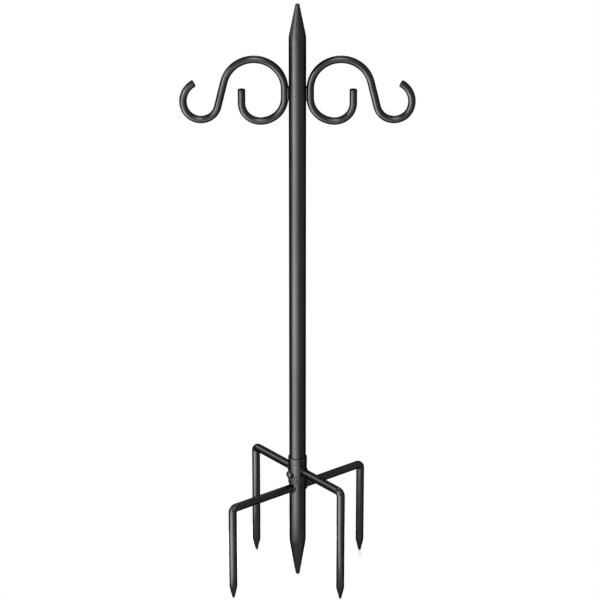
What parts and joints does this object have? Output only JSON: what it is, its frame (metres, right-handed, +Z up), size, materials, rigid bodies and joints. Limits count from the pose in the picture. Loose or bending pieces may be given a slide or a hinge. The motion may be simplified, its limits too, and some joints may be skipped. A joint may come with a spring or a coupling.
{
  "type": "hanging plant stand",
  "caption": "Ground-standing steel pole with a pointed foot, scroll hooks each side near the pointed top, fixed prongs and a swivelling prong collar with a lock screw.",
  "frame": {"origin": "on the ground, midway under the stand, on the pole's axis, where the ground point and the prong tips rest", "axes": "+Z up along the pole; the scroll hooks lie in the XZ plane, the left one towards -X; -Y is the front, where the lock screw is seen"},
  "size_m": [0.3418, 0.1748, 0.9144],
  "materials": {
    "pole_coat": "satin black powder coat",
    "hook_coat": "satin black powder coat",
    "prong_coat": "satin black powder coat",
    "collar_coat": "satin black powder coat",
    "weld_coat": "rippled weld under satin black powder coat",
    "blackened_steel": "blackened steel"
  },
  "bodies": {
    "pole": {"pole_tube": "pole_coat", "top_point": "pole_coat", "ground_point": "pole_coat", "left_scroll_hook": "hook_coat", "right_scroll_hook": "hook_coat", "left_hook_weld_front": "weld_coat", "left_hook_weld_back": "weld_coat", "right_hook_weld_front": "weld_coat", "right_hook_weld_back": "weld_coat", "fixed_prong_front": "prong_coat", "fixed_prong_back": "prong_coat", "fixed_prong_weld_front": "weld_coat", "fixed_prong_weld_back": "weld_coat"},
    "collar": {"swivel_collar": "collar_coat", "swivel_prong_front": "prong_coat", "swivel_prong_back": "prong_coat", "swivel_prong_weld_front": "weld_coat", "swivel_prong_weld_back": "weld_coat"},
    "washer": {"lock_washer": "blackened_steel"},
    "screw": {"lock_screw": "blackened_steel"}
  },
  "joints": [
    {"name": "prong_swivel", "type": "hinge", "parent": "pole", "child": "collar", "pos_m": [0, 0, 0.1799], "axis": [0, 0, 1], "range_deg": [-82, 82]},
    {"name": "lock_screw_travel", "type": "slide", "parent": "collar", "child": "washer", "axis": [-0.7804, -0.6252, 0], "range_m": [0, 0.0015]},
    {"name": "lock_screw_turn", "type": "hinge", "parent": "washer", "child": "screw", "pos_m": [-0.01288, -0.01032, 0.1754], "axis": [-0.7804, -0.6252, 0], "range_deg": [0, 540]}
  ],
  "couplings": [
    {"joint": "lock_screw_turn", "follows": "lock_screw_travel", "rad_per_m": 6283.2}
  ]
}
